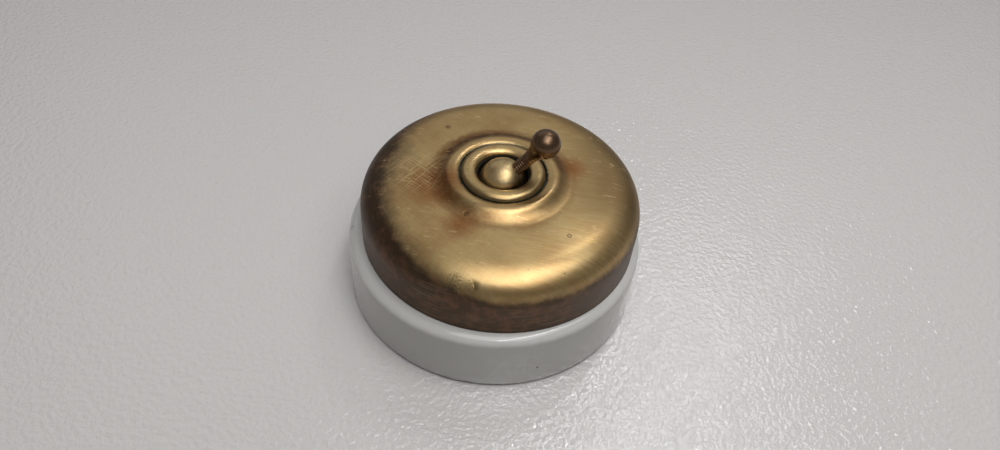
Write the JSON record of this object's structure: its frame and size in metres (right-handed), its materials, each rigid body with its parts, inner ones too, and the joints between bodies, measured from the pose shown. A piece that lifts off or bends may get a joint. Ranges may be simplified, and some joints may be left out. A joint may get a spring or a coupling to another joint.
{
  "type": "toggle wall switch",
  "caption": "Round surface-mounted tumbler switch: porcelain base, domed brass cover with a ring nut, and a ball-ended toggle that tips to either side.",
  "frame": {"origin": "centre of the underside of the porcelain base, on the surface it is screwed to", "axes": "+Z out of the wall through the cover; the toggle tips in the XZ plane and leans to +X at rest; the two wall screw holes lie along X"},
  "size_m": [0.0635, 0.0634, 0.041],
  "materials": {
    "porcelain": "glossy off-white glaze, slightly crazed and specked",
    "aged_brass": "lacquer gone, brown patina on the wall, fine brushing on the crown",
    "ring_brass": "worn bright crest, dark in the roots",
    "dark_brass": "handled dark brown patina",
    "works_brass": "plain turned and bent brass",
    "spring_steel": "bright drawn steel",
    "vulcanised_fibre": "matt red-brown vulcanised fibre",
    "fibre_paper": "matt brown insulating fibre"
  },
  "bodies": {
    "base": {"bracket_screw": "works_brass", "brass_cover": "aged_brass", "bridge": "works_brass", "bridge_nut_back": "works_brass", "bridge_nut_front": "works_brass", "bridge_screw_back": "works_brass", "bridge_screw_front": "works_brass", "clamping_screw_back": "works_brass", "clamping_screw_front": "works_brass", "cover_lining": "fibre_paper", "dolly_pin": "spring_steel", "fixed_contact_back": "works_brass", "fixed_contact_front": "works_brass", "porcelain_base": "porcelain", "ring_nut": "ring_brass", "rocker_bracket": "works_brass", "rocker_pin": "spring_steel", "terminal_block_back": "works_brass", "terminal_block_front": "works_brass", "terminal_screw_back": "works_brass", "terminal_screw_front": "works_brass", "threaded_collar": "works_brass"},
    "toggle": {"dolly": "dark_brass", "toggle_lever": "dark_brass", "plunger_spring": "spring_steel"},
    "plunger": {"plunger": "spring_steel"},
    "rocker": {"rocker": "vulcanised_fibre", "moving_contact": "works_brass", "contact_rivet_front": "works_brass", "contact_rivet_back": "works_brass"}
  },
  "joints": [
    {"name": "toggle_tilt", "type": "hinge", "parent": "base", "child": "toggle", "pos_m": [0.00075, 0, 0.0272], "axis": [0, -1, 0], "range_deg": [0, 72]},
    {"name": "rocker_turn", "type": "hinge", "parent": "base", "child": "rocker", "pos_m": [0.00075, 0, 0.0136], "axis": [0, -1, 0], "range_deg": [-24, 0]},
    {"name": "plunger_slide", "type": "slide", "parent": "toggle", "child": "plunger", "axis": [0.5878, 0, 0.809], "range_m": [0, 0.0015], "stiffness_N_per_m": 400, "springref_m": -0.002, "deforming": ["plunger_spring"]}
  ],
  "couplings": [
    {"joint": "rocker_turn", "follows": "toggle_tilt", "ratio": -0.33333}
  ]
}
